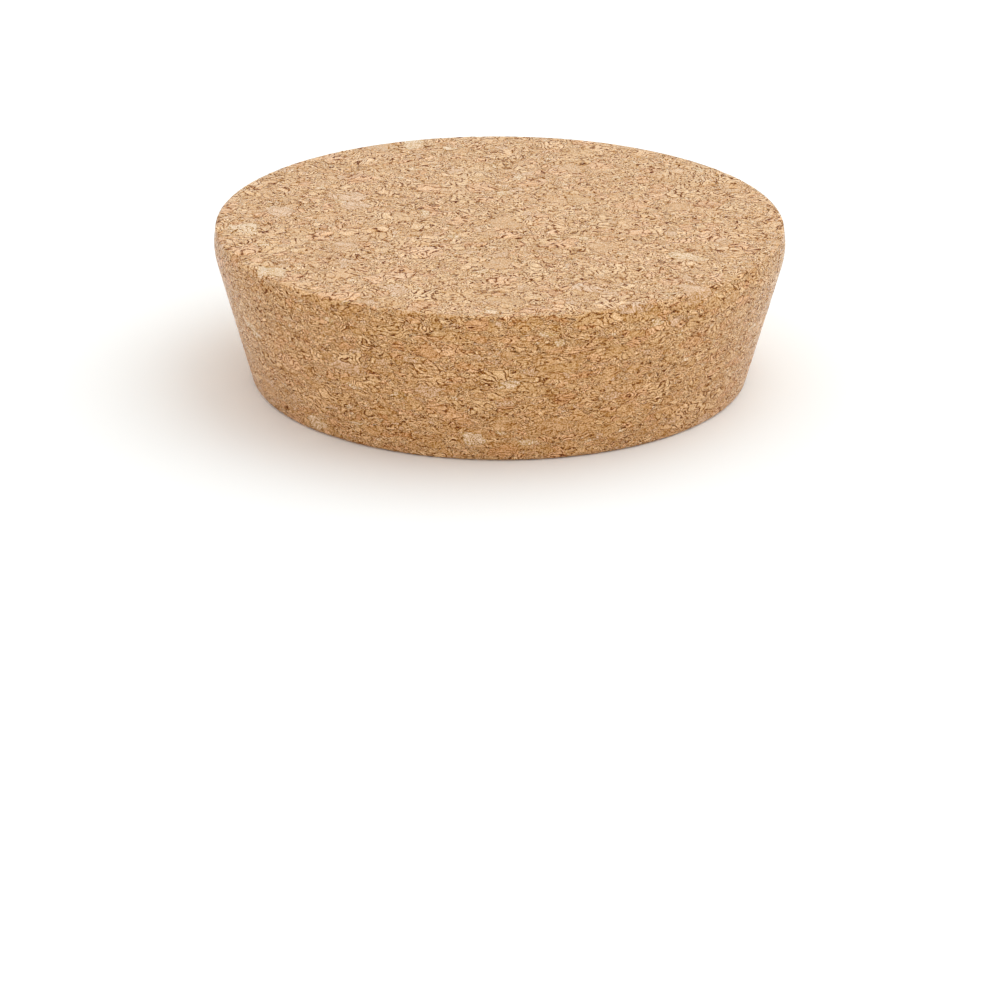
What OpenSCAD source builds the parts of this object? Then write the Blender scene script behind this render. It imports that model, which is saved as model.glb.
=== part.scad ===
// Cork stopper for a wide-mouthed jar.
// One piece of pressed granulated cork, turned and sanded to a shallow taper. The rim stands
// nearly upright above the taper, and the narrow base face rests on the table.
// Millimetres, +Z up. The origin is the centre of the base face.

/* [Stopper] */
// Height from the base face to the top face
height = 30; // [20:0.5:60]
// Diameter of the rim where it meets the taper, taken at that corner before it is blended
rim_d = 108; // [96:0.5:160]
// Diameter of the base, taken at its corner before that is rounded
base_d = 94; // [60:0.5:95]

/* [Rim] */
// Height of the rim, from that corner up to the top face
rim_h = 4; // [3:0.1:12]
// How far the rim leans in on its way up, on the radius
rim_lean = 0.5; // [0:0.05:1.5]
// Radius that blends the rim into the taper, as far as the rim has room for it
rim_blend_r = 10; // [1:0.5:15]

/* [Edges] */
// Radius of the crisp edge round the top face
top_edge_r = 0.5; // [0.2:0.1:1.2]
// Radius of the sanded edge round the base
base_edge_r = 1; // [0.3:0.1:4]

/* [Hidden] */
$fn = 180;
arc_steps = 8;
cork_colour = [0.82, 0.65, 0.46];

rim_r = rim_d / 2;
base_r = base_d / 2;

// Corners of the half section, from the axis at the top round to the axis at the base
axis_top = [0, height];
top_corner = [rim_r - rim_lean, height];
rim_corner = [rim_r, height - rim_h];
base_corner = [base_r, 0];
axis_base = [0, 0];

// Direction from one point to another, as a vector one long
function toward(from, to) = (to - from) / norm(to - from);

// A vector turned about its foot
function turned(v, angle) =
    [v.x * cos(angle) - v.y * sin(angle), v.x * sin(angle) + v.y * cos(angle)];

// Half of the angle inside a corner
function half_angle(before, corner, after) =
    acos(toward(corner, before) * toward(corner, after)) / 2;

// Points of the arc that rounds a corner and touches both its sides
function rounded(before, corner, after, radius) =
    let (
        half = half_angle(before, corner, after),
        inward = toward(corner, before) + toward(corner, after),
        centre = corner + inward / norm(inward) * radius / sin(half),
        first_spoke = corner + toward(corner, before) * radius / tan(half) - centre,
        turn = 180 - 2 * half
    )
    [for (step = [0 : arc_steps]) centre + turned(first_spoke, -turn * step / arc_steps)];

// Length of the rim's side that the top edge leaves for the blend below it
top_edge_reach = top_edge_r / tan(half_angle(axis_top, top_corner, rim_corner));
blend_room = norm(top_corner - rim_corner) - top_edge_reach;
blend_r = min(
    rim_blend_r,
    blend_room * tan(half_angle(top_corner, rim_corner, base_corner))
);

// Half section of the stopper, right of its axis
half_section = concat(
    [axis_top],
    rounded(axis_top, top_corner, rim_corner, top_edge_r),
    rounded(top_corner, rim_corner, base_corner, blend_r),
    rounded(rim_corner, base_corner, axis_base, base_edge_r),
    [axis_base]
);

// The stopper: one solid, turned about its axis
module stopper() {
    color(cork_colour)
        rotate_extrude()
            polygon(half_section);
}

stopper();
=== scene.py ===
import math

import bmesh
import bpy
import numpy as np
from mathutils import Matrix, Vector


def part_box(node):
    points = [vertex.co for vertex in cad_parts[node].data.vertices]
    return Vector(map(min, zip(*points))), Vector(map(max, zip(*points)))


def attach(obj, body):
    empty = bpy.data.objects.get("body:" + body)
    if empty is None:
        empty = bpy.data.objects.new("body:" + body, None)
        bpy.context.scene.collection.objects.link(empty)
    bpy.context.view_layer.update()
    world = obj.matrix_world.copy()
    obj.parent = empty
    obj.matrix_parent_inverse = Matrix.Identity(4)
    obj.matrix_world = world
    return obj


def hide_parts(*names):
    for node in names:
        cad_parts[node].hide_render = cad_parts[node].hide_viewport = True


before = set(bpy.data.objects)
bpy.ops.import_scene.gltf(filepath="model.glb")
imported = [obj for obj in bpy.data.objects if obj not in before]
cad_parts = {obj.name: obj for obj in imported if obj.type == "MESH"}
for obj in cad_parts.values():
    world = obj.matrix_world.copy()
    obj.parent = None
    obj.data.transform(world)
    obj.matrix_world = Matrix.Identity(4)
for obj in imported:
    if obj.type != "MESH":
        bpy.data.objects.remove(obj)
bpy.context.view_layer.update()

# ------------------------------------------------------------------------------------------------
# The stopper
#
# One block of cork granules, pressed flat with a binder, then turned and sanded to a shallow
# taper with a nearly upright rim. Softer granules and the voids between them lie a little below
# the sanded surface. It is all one piece, and nothing is fixed to it.
# ------------------------------------------------------------------------------------------------

MM = 0.001

# Half section, as corners from the axis at the top round to the axis at the base
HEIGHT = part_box("stopper")[1].z
RIM_CORNER_R = 54 * MM
RIM_H = 4 * MM
RIM_LEAN = 0.5 * MM
BASE_CORNER_R = 47 * MM
section_corners = [
    (0, HEIGHT),
    (RIM_CORNER_R - RIM_LEAN, HEIGHT),
    (RIM_CORNER_R, HEIGHT - RIM_H),
    (BASE_CORNER_R, 0),
    (0, 0),
]

# Radius that rounds each corner of the section: the top edge, the rim's blend, the base edge
CORNER_RADII = {1: 0.5 * MM, 2: 10 * MM, 3: 1 * MM}
ARC_SEGMENTS = 8
TURN_STEPS = 360
# Points closer than this are one point
MERGE_DIST = 0.001 * MM

section = bmesh.new()
corners = [section.verts.new((r, 0, z)) for r, z in section_corners]
places = [corner.co.copy() for corner in corners]
for start, end in zip(corners, corners[1:]):
    section.edges.new((start, end))
for index, radius in CORNER_RADII.items():
    before = places[index - 1] - places[index]
    after = places[index + 1] - places[index]
    bmesh.ops.bevel(
        section,
        geom=[corners[index]],
        affect="VERTICES",
        offset=radius / math.tan(before.angle(after) / 2),
        offset_type="OFFSET",
        segments=ARC_SEGMENTS,
        profile=0.5,
        material=-1,
    )
bmesh.ops.spin(
    section,
    geom=section.verts[:] + section.edges[:],
    cent=(0, 0, 0),
    axis=(0, 0, 1),
    angle=math.tau,
    steps=TURN_STEPS,
    use_merge=True,
)
bmesh.ops.remove_doubles(section, verts=section.verts, dist=MERGE_DIST)
bmesh.ops.recalc_face_normals(section, faces=section.faces)
stopper_mesh = bpy.data.meshes.new("stopper_cork")
section.to_mesh(stopper_mesh)
section.free()
stopper = bpy.data.objects.new("stopper_cork", stopper_mesh)
bpy.context.scene.collection.objects.link(stopper)
bpy.context.view_layer.objects.active = stopper


def add(tree, kind, inputs, **settings):
    """Adds a node with these settings, and links or fills the inputs named."""
    made = tree.nodes.new(kind)
    for name, value in settings.items():
        setattr(made, name, value)
    for name, value in inputs.items():
        if isinstance(value, bpy.types.NodeSocket):
            tree.links.new(value, made.inputs[name])
        else:
            made.inputs[name].default_value = value
    return made


def maths(tree, operation, *values):
    """A sum on one to three numbers."""
    return add(tree, "ShaderNodeMath", dict(enumerate(values)), operation=operation).outputs[0]


def vectors(tree, operation, *values):
    """A sum on one to three vectors."""
    return add(tree, "ShaderNodeVectorMath", dict(enumerate(values)), operation=operation).outputs[0]


def ease(tree, value, low, high, to_low=0.0, to_high=1.0):
    """A smooth step from to_low, where the value is at low, up to to_high."""
    made = add(
        tree,
        "ShaderNodeMapRange",
        {"Value": value, "From Min": low, "From Max": high, "To Min": to_low, "To Max": to_high},
        interpolation_type="SMOOTHSTEP",
    )
    return made.outputs["Result"]


def blend(tree, factor, first, second, data="FLOAT", **settings):
    """The first value where the factor is 0, the second where it is 1."""
    slots = {"FLOAT": (2, 3, 0), "VECTOR": (4, 5, 1), "RGBA": (6, 7, 2)}[data]
    made = add(
        tree,
        "ShaderNodeMix",
        {0: factor, slots[0]: first, slots[1]: second},
        data_type=data,
        **settings,
    )
    return made.outputs[slots[2]]


def noise(tree, place, per_mm, detail=2.0, roughness=0.5):
    """Even noise with its middle at 0.5. Returns its value and its colour."""
    made = add(
        tree,
        "ShaderNodeTexNoise",
        {"Vector": place, "Scale": per_mm, "Detail": detail, "Roughness": roughness},
    )
    return made.outputs[0], made.outputs[1]


def shake(tree, place, per_mm, reach, detail=1.0):
    """The place, moved to and fro by up to about half the reach in each direction."""
    wander = vectors(tree, "SUBTRACT", noise(tree, place, per_mm, detail)[1], (0.5, 0.5, 0.5))
    return vectors(tree, "ADD", place, vectors(tree, "MULTIPLY", wander, (reach,) * 3))


def cells(tree, place, size):
    """Granules of one size. Returns three even random numbers for each granule, and the
    distance to its border in millimetres."""
    ids = add(tree, "ShaderNodeTexVoronoi", {"Vector": place, "Scale": 1 / size})
    edge = add(
        tree,
        "ShaderNodeTexVoronoi",
        {"Vector": place, "Scale": 1 / size},
        feature="DISTANCE_TO_EDGE",
    )
    return ids.outputs["Color"], maths(tree, "MULTIPLY", edge.outputs["Distance"], size)


# The pressing flattens the granules, so across the thickness they are thinner by this
PRESSED = 2.1
# Sizes of whole granules, broken granules and crumbs, in millimetres
BIG, MEDIUM, CRUMB = 4.8, 2.4, 1.1
# Shares of the block that stay whole, and of the rest that only breaks once
WHOLE, BROKEN = 0.28, 0.50
# Where the patterns of the two smaller sizes start, so that the borders of the sizes don't meet
MEDIUM_START = (31.0, 7.0, 3.0)
CRUMB_START = (5.0, 43.0, 9.0)
# How the pressing bends the layers and how ragged the borders are: how often per millimetre, and
# by how many millimetres
BEND_PER_MM, BEND_REACH = 0.3, 3.0
RAGGED_PER_MM, RAGGED_REACH = 1.3, 0.8
# How often voids come and go along the borders, and their widest gap and its edge in millimetres
VOIDS_PER_MM = 0.95
VOID_WIDTH = 0.20
VOID_EDGE = 0.08


def granules(tree, place):
    """The pattern of the pressed granules at a place given in millimetres.

    Returns sockets: three random numbers for each granule, how far each of them is from its
    border, how whole it is, how open the void is here, and the place as the pressing bends it.
    """
    pressed = vectors(tree, "MULTIPLY", place, (1.0, 1.0, PRESSED))
    bent = shake(tree, pressed, BEND_PER_MM, BEND_REACH)
    ragged = shake(tree, bent, RAGGED_PER_MM, RAGGED_REACH, detail=2.0)

    big_id, big_border = cells(tree, ragged, BIG)
    medium_id, medium_border = cells(tree, vectors(tree, "ADD", ragged, MEDIUM_START), MEDIUM)
    crumb_id, crumb_border = cells(tree, vectors(tree, "ADD", ragged, CRUMB_START), CRUMB)
    big_pick = add(tree, "ShaderNodeSeparateXYZ", {0: big_id}).outputs[0]
    medium_pick = add(tree, "ShaderNodeSeparateXYZ", {0: medium_id}).outputs[0]
    is_big = maths(tree, "LESS_THAN", big_pick, WHOLE)
    is_medium = maths(tree, "LESS_THAN", medium_pick, BROKEN)

    small_id = blend(tree, is_medium, crumb_id, medium_id, "VECTOR")
    number = blend(tree, is_big, small_id, big_id, "VECTOR")
    small_border = blend(tree, is_medium, crumb_border, medium_border)
    border = blend(tree, is_big, small_border, big_border)
    whole = maths(tree, "MAXIMUM", is_big, is_medium)

    # Voids open along parts of the borders, and the binder fills the rest
    gate = noise(tree, bent, VOIDS_PER_MM, detail=1.0)[0]
    width = ease(tree, gate, 0.60, 0.72, 0.0, VOID_WIDTH)
    void = ease(tree, maths(tree, "SUBTRACT", width, border), 0.0, VOID_EDGE)
    return number, border, whole, void, bent


# Depth of the voids, of a granule that was sanded low and of the borders' shallow joint lines, and
# the width of a joint line, all in millimetres
VOID_DEPTH = 0.30
LOW_GRANULE = 0.05
JOINT_DEPTH = 0.03
JOINT_WIDTH = 0.15
# Size of the mesh, and the triangles that are left once it is thinned
VOXEL = 0.19 * MM
TRIANGLES = 190000

relief = bpy.data.node_groups.new("sanded_relief", "GeometryNodeTree")
relief.interface.new_socket("Geometry", in_out="INPUT", socket_type="NodeSocketGeometry")
relief.interface.new_socket("Geometry", in_out="OUTPUT", socket_type="NodeSocketGeometry")
blank = relief.nodes.new("NodeGroupInput")
finished = relief.nodes.new("NodeGroupOutput")
place = add(relief, "GeometryNodeInputPosition", {}).outputs[0]
normal = add(relief, "GeometryNodeInputNormal", {}).outputs[0]
number, border, whole, void, bent = granules(
    relief, vectors(relief, "MULTIPLY", place, (1 / MM, 1 / MM, 1 / MM))
)
low = add(relief, "ShaderNodeSeparateXYZ", {0: number}).outputs[2]
depth = maths(relief, "MULTIPLY", void, VOID_DEPTH)
depth = maths(relief, "ADD", depth, maths(relief, "MULTIPLY", low, LOW_GRANULE))
depth = maths(relief, "ADD", depth, ease(relief, border, 0.0, JOINT_WIDTH, JOINT_DEPTH, 0.0))
sink = add(relief, "ShaderNodeVectorMath", {0: normal, "Scale": maths(
    relief, "MULTIPLY", depth, -MM)}, operation="SCALE").outputs[0]
moved = add(relief, "GeometryNodeSetPosition", {"Geometry": blank.outputs[0], "Offset": sink})
relief.links.new(moved.outputs[0], finished.inputs[0])

even = stopper.modifiers.new("even_mesh", "REMESH")
even.mode = "VOXEL"
even.voxel_size = VOXEL
bpy.ops.object.modifier_apply(modifier=even.name)
sanded = stopper.modifiers.new("sanded_relief", "NODES")
sanded.node_group = relief
bpy.ops.object.modifier_apply(modifier=sanded.name)
thinned = stopper.modifiers.new("thinned_mesh", "DECIMATE")
thinned.ratio = TRIANGLES / (2 * len(stopper.data.polygons))
thinned.use_collapse_triangulate = True
bpy.ops.object.modifier_apply(modifier=thinned.name)
stopper.data.polygons.foreach_set("use_smooth", [True] * len(stopper.data.polygons))

# Thinning leaves a few points a hair proud of the two flat faces, and sanding takes them off
points = np.empty(len(stopper.data.vertices) * 3)
stopper.data.vertices.foreach_get("co", points)
points[2::3] = points[2::3].clip(0, HEIGHT)
stopper.data.vertices.foreach_set("co", points)
stopper.data.update()

# The skin laid flat on a square sheet, so that its pattern can be kept as a picture: the top and
# base discs side by side, and above them the side, cut into a front and a back half turn.
# All in millimetres, and a face goes with the disc whose side of the edge's middle it is on.
SHEET = 204
GAP = 1.5
TOP_DISC_R = (RIM_CORNER_R - RIM_LEAN) / MM
BASE_DISC_R = BASE_CORNER_R / MM
TOP_Z = HEIGHT / MM
SIDE_R = (TOP_DISC_R + BASE_DISC_R) / 2
skin = stopper.data
corner_points = np.empty(len(skin.loops), dtype=int)
skin.loops.foreach_get("vertex_index", corner_points)
corner_counts = np.empty(len(skin.polygons), dtype=int)
skin.polygons.foreach_get("loop_total", corner_counts)
centres = np.empty(len(skin.polygons) * 3)
skin.polygons.foreach_get("center", centres)
centres = np.repeat(centres.reshape(-1, 3), corner_counts, axis=0)
x, y, z = points.reshape(-1, 3)[corner_points].T / MM
face_x, face_y, face_z = centres.T / MM
face_r = np.hypot(face_x, face_y)
face_turn = np.arctan2(face_y, face_x)
turn = face_turn + np.angle(np.exp(1j * (np.arctan2(y, x) - face_turn)))
on_top = TOP_Z - face_z < TOP_DISC_R - face_r
on_base = face_z < BASE_DISC_R - face_r
side_foot = 2 * TOP_DISC_R + 2 * GAP
across = np.select(
    [on_top, on_base, face_turn < 0],
    [
        GAP + TOP_DISC_R + x,
        2 * GAP + 2 * TOP_DISC_R + BASE_DISC_R - x,
        GAP + (turn + math.pi) * SIDE_R,
    ],
    GAP + turn * SIDE_R,
)
up = np.select(
    [on_top, on_base, face_turn < 0],
    [GAP + TOP_DISC_R + y, GAP + BASE_DISC_R + y, side_foot + z],
    side_foot + TOP_Z + GAP + z,
)
flat = skin.uv_layers.new(name="OFBake")
flat.uv.foreach_set("vector", np.column_stack((across, up)).ravel() / SHEET)

# The cork itself
cork = bpy.data.materials.new("granulated_cork")
cork.use_nodes = True
tree = cork.node_tree
shader = tree.nodes["Principled BSDF"]
own_place = add(tree, "ShaderNodeTexCoord", {}).outputs["Object"]
place = vectors(tree, "MULTIPLY", own_place, (1 / MM, 1 / MM, 1 / MM))
number, border, whole, void, bent = granules(tree, place)
picks = add(tree, "ShaderNodeSeparateXYZ", {0: number})

# Tints of the granules, each from its share of them on: a few rusty ones, pinkish and yellowish
# tan of nearly the same lightness, and pale flakes
TINTS = [
    (0.00, (0.572, 0.271, 0.101)),
    (0.04, (0.600, 0.299, 0.118)),
    (0.20, (0.584, 0.310, 0.119)),
    (0.45, (0.600, 0.315, 0.123)),
    (0.75, (0.585, 0.314, 0.122)),
    (0.84, (0.600, 0.323, 0.136)),
    (0.93, (0.622, 0.362, 0.194)),
    (0.98, (0.690, 0.450, 0.262)),
]
tints = tree.nodes.new("ShaderNodeValToRGB")
tints.color_ramp.interpolation = "CONSTANT"
stops = tints.color_ramp.elements
while len(stops) < len(TINTS):
    stops.new(0.5)
for stop, (position, colour) in zip(stops, TINTS):
    stop.position = position
    stop.color = (*colour, 1.0)
tree.links.new(picks.outputs[1], tints.inputs[0])

# The layers of the bark run straight through a granule, whichever way it fell, and the pressing
# lays them nearly flat. A granule leans over by no more than this, in radians.
LEAN = 1.1
fall = add(tree, "ShaderNodeCombineXYZ", {
    0: ease(tree, picks.outputs[1], 0.0, 1.0, -LEAN, LEAN),
    1: ease(tree, picks.outputs[2], 0.0, 1.0, -LEAN, LEAN),
    2: maths(tree, "MULTIPLY", picks.outputs[0], 40.0),
}).outputs[0]
lie = add(
    tree, "ShaderNodeVectorRotate", {"Vector": bent, "Rotation": fall}, rotation_type="EULER_XYZ"
).outputs[0]

# How often the bark changes, per millimetre along and across its layers: in granules that are
# whole, in crumbs, and in the flecks that are strewn through both
IN_WHOLE = (0.22, 0.35, 0.5)
IN_CRUMBS = (0.5, 0.8, 1.1)
IN_FLECKS = (2.1, 2.9, 3.8)
# Times per millimetre that the bark's own cells show as a fine grain
GRAIN_PER_MM = 4.0
long_layers = noise(tree, vectors(tree, "MULTIPLY", lie, IN_WHOLE), 1.0, detail=0.3)[0]
short_layers = noise(tree, vectors(tree, "MULTIPLY", lie, IN_CRUMBS), 1.0, detail=0.3)[0]
flecks = noise(tree, vectors(tree, "MULTIPLY", lie, IN_FLECKS), 1.0, detail=1.0)[0]
grain = noise(tree, place, GRAIN_PER_MM, detail=0.0)[0]
# How far the flecks fray the layers
FRAYED = 0.09
layers = blend(tree, whole, short_layers, long_layers)
layers = maths(tree, "MULTIPLY_ADD", flecks, FRAYED, layers)

# In whole granules the layers also follow one another steadily, by this for each millimetre, so
# that their lines run side by side
CLIMB = 0.08
climb = maths(tree, "MULTIPLY", add(tree, "ShaderNodeSeparateXYZ", {0: lie}).outputs[2], CLIMB)
climbing = maths(tree, "MULTIPLY_ADD", climb, whole, layers)

# How close together the lines lie in the layers and in the flecks, in radians of their wave over the
# noise's whole range, and how dark a line and how pale the bark beside it is, as shares of the
# granule's own tint
LAYER_LINES = 36
FLECK_LINES = 11
DARK_LINE = 1.9
PALE_BARK = 0.32


def lines(tree, layers, closeness, darkness):
    """Thin dark lines that follow the layers, with paler bark between them."""
    wave = maths(tree, "SINE", maths(tree, "MULTIPLY", layers, closeness))
    dark = maths(tree, "MULTIPLY", ease(tree, wave, 0.62, 0.95), darkness)
    return maths(tree, "SUBTRACT", ease(tree, wave, 0.5, -0.5, 0.0, PALE_BARK), dark)


# The flecks break the layers' lines into dashes, have fainter lines of their own, and shade as
# well. Dark lines outweigh the pale bark, and the last sum evens that out.
FLECK_SHARE = 0.5
FLECK_SHADE = 1.1
EVEN = -0.02
BETWEEN_DASHES = 0.15
dashes = ease(tree, flecks, 0.40, 0.54, BETWEEN_DASHES * DARK_LINE, DARK_LINE)
line = maths(
    tree, "MULTIPLY_ADD", lines(tree, flecks, FLECK_LINES, DARK_LINE), FLECK_SHARE,
    lines(tree, climbing, LAYER_LINES, dashes),
)
line = maths(tree, "MULTIPLY_ADD", maths(tree, "SUBTRACT", flecks, 0.5), FLECK_SHADE, line)
line = maths(tree, "ADD", line, EVEN)

# Some whole granules are smooth, pale ones are plain flakes, and the lines fade in and out
SMOOTHEST = 0.70
PLAIN_FLAKE = 0.35
PALE_FROM = 0.80, 0.84
FADES_PER_MM = 0.7
FAINTEST, STRONGEST = 0.72, 1.13
smooth = maths(tree, "MULTIPLY", maths(tree, "MULTIPLY", picks.outputs[2], SMOOTHEST), whole)
flake = ease(tree, picks.outputs[1], *PALE_FROM, 1.0, PLAIN_FLAKE)
fades = noise(tree, bent, FADES_PER_MM, detail=1.0)[0]
faded = ease(tree, fades, 0.40, 0.56, FAINTEST, STRONGEST)
lively = maths(tree, "MULTIPLY", maths(tree, "SUBTRACT", 1.0, smooth), flake)
shade = maths(tree, "MULTIPLY_ADD", line, maths(tree, "MULTIPLY", lively, faded), 1.0)

# Glue shows as a faint line round each granule and a stronger one round the whole ones, which
# fades between two distances from the border in millimetres. The grain is the bark's own cells,
# and the voids are darkened with painted shade, standing for the shade that falls inside them.
GLUE_FADES = 0.03, 0.18
GLUE_LINE = 0.06
WHOLE_GLUE_LINE = 0.26
GRAIN_SHADE = 0.28
VOID_PAINTED_SHADE = 0.55
glue = maths(tree, "MULTIPLY_ADD", whole, WHOLE_GLUE_LINE, GLUE_LINE)
shade = maths(tree, "SUBTRACT", shade, maths(
    tree, "MULTIPLY", glue, ease(tree, border, *GLUE_FADES, 1.0, 0.0)))
shade = maths(tree, "ADD", shade, ease(tree, grain, 0.20, 0.80, -GRAIN_SHADE, GRAIN_SHADE))
# Painted shade: the colour is darkened wherever a void opens, as if shaded inside it
shade = maths(tree, "MULTIPLY_ADD", void, -VOID_PAINTED_SHADE, shade)
DARKEST = 0.20
shade = maths(tree, "MAXIMUM", shade, DARKEST)

# Where cork is darker than its tint it is also redder, and where it is lighter it is yellower
DEEPER = (1.0, 1.65, 4.5)
LIGHTER = (1.0, 1.5, 2.3)
deepened = vectors(tree, "POWER", maths(tree, "MINIMUM", shade, 1.0), DEEPER)
lightened = vectors(tree, "POWER", maths(tree, "MAXIMUM", shade, 1.0), LIGHTER)
shading = vectors(tree, "MULTIPLY", deepened, lightened)
colour = blend(tree, 1.0, tints.outputs[0], shading, "RGBA", blend_type="MULTIPLY")
tree.links.new(colour, shader.inputs["Base Color"])

# Relief too fine for the mesh, and a surface that is dry where it is dark and smoother where it is
# pale
FINE_RELIEF = 0.30 * MM
RELIEF_STRENGTH = 0.9
FLECK_HEIGHT, GRAIN_HEIGHT = 0.5, 0.2
DRY, SANDED = 1.0, 0.22
GLOSS = 0.32
height = maths(tree, "MULTIPLY_ADD", flecks, FLECK_HEIGHT, layers)
height = maths(tree, "MULTIPLY_ADD", grain, GRAIN_HEIGHT, height)
bump = add(
    tree,
    "ShaderNodeBump",
    {"Height": height, "Distance": FINE_RELIEF, "Strength": RELIEF_STRENGTH},
)
tree.links.new(bump.outputs[0], shader.inputs["Normal"])
tree.links.new(ease(tree, shade, 0.4, 0.85, DRY, SANDED), shader.inputs["Roughness"])
shader.inputs["Specular IOR Level"].default_value = GLOSS
stopper.data.materials.append(cork)

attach(stopper, "root")
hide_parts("stopper")

# ------------------------------------------------------------------------------------------------
# The floor
#
# A plain pale sheet under the stopper, wide enough to fill every view.
# ------------------------------------------------------------------------------------------------

FLOOR_REACH = 6.0
PAPER_WHITE = (0.95, 0.95, 0.95, 1.0)
PAPER_ROUGHNESS = 0.9

floor_form = bmesh.new()
bmesh.ops.create_grid(floor_form, x_segments=1, y_segments=1, size=FLOOR_REACH)
floor_mesh = bpy.data.meshes.new("floor")
floor_form.to_mesh(floor_mesh)
floor_form.free()
floor = bpy.data.objects.new("floor", floor_mesh)
bpy.context.scene.collection.objects.link(floor)
paper = bpy.data.materials.new("white_paper")
paper.use_nodes = True
paper_shader = paper.node_tree.nodes["Principled BSDF"]
paper_shader.inputs["Base Color"].default_value = PAPER_WHITE
paper_shader.inputs["Roughness"].default_value = PAPER_ROUGHNESS
paper_shader.inputs["Specular IOR Level"].default_value = 0.0
floor.data.materials.append(paper)

# ------------------------------------------------------------------------------------------------
# The studio light
#
# A warm white tent all round, one large soft lamp above and to the right, and two weaker ones
# whose light grazes the top face: a cool one behind, and a warm one behind and to the left.
# ------------------------------------------------------------------------------------------------

TENT_WHITE = (1.0, 0.99, 0.97, 1.0)
TENT_STRENGTH = 0.91

tent = bpy.data.worlds.new("warm_white_tent")
tent.use_nodes = True
tent.node_tree.nodes["Background"].inputs["Color"].default_value = TENT_WHITE
tent.node_tree.nodes["Background"].inputs["Strength"].default_value = TENT_STRENGTH
bpy.context.scene.world = tent

LAMP_SIZE = 1.2
# Place in metres, power in watts and colour of each lamp
LAMPS = {
    "side_lamp": (Vector((0.55, 0.15, 0.8)), 5.0, (0.835, 0.95, 1.0)),
    "back_lamp": (Vector((0.0, 1.2, 0.5)), 1.5, (0.76, 1.0, 0.95)),
    "left_lamp": (Vector((-0.9, 0.8, 0.35)), 1.6, (1.0, 0.88, 0.76)),
}
for name, (lamp_place, power, tint) in LAMPS.items():
    lamp = bpy.data.lights.new(name, "AREA")
    lamp.shape = "SQUARE"
    lamp.size = LAMP_SIZE
    lamp.color = tint
    lamp.energy = power
    lamp_object = bpy.data.objects.new(name, lamp)
    lamp_object.location = lamp_place
    lamp_object.rotation_euler = (-lamp_place).to_track_quat("-Z", "Y").to_euler()
    bpy.context.scene.collection.objects.link(lamp_object)

# ------------------------------------------------------------------------------------------------
# The camera
#
# A long lens that looks down at the frame's middle, so the stopper stands above it.
# ------------------------------------------------------------------------------------------------

IMAGE_WIDTH_PX = 1001
FOCAL_PX = 4247.9
SENSOR_WIDTH = 36.0
ELEVATION = math.radians(22.3247)
ROLL = math.radians(0.2407)
DEPTH = 806.1 * MM
CLIP_START = 10 * MM
# Where the middle of the stopper's height falls in the frame, and where the frame's middle is
STOPPER_PX = (499.037, 295.398)
MIDDLE_PX = (500.0, 500.0)

camera = bpy.data.cameras.new("camera")
camera.sensor_width = SENSOR_WIDTH
camera.lens = FOCAL_PX / IMAGE_WIDTH_PX * SENSOR_WIDTH
camera.clip_start = CLIP_START
camera_object = bpy.data.objects.new("camera", camera)
turned = Matrix.Rotation(math.pi / 2 - ELEVATION, 4, "X") @ Matrix.Rotation(ROLL, 4, "Z")
across = (STOPPER_PX[0] - MIDDLE_PX[0]) / FOCAL_PX * DEPTH
up = (MIDDLE_PX[1] - STOPPER_PX[1]) / FOCAL_PX * DEPTH
seen_at = turned.to_3x3() @ Vector((across, up, -DEPTH))
camera_object.matrix_world = Matrix.Translation(Vector((0, 0, HEIGHT / 2)) - seen_at) @ turned
bpy.context.scene.collection.objects.link(camera_object)
bpy.context.scene.camera = camera_object

bpy.context.scene.view_settings.view_transform = "Standard"
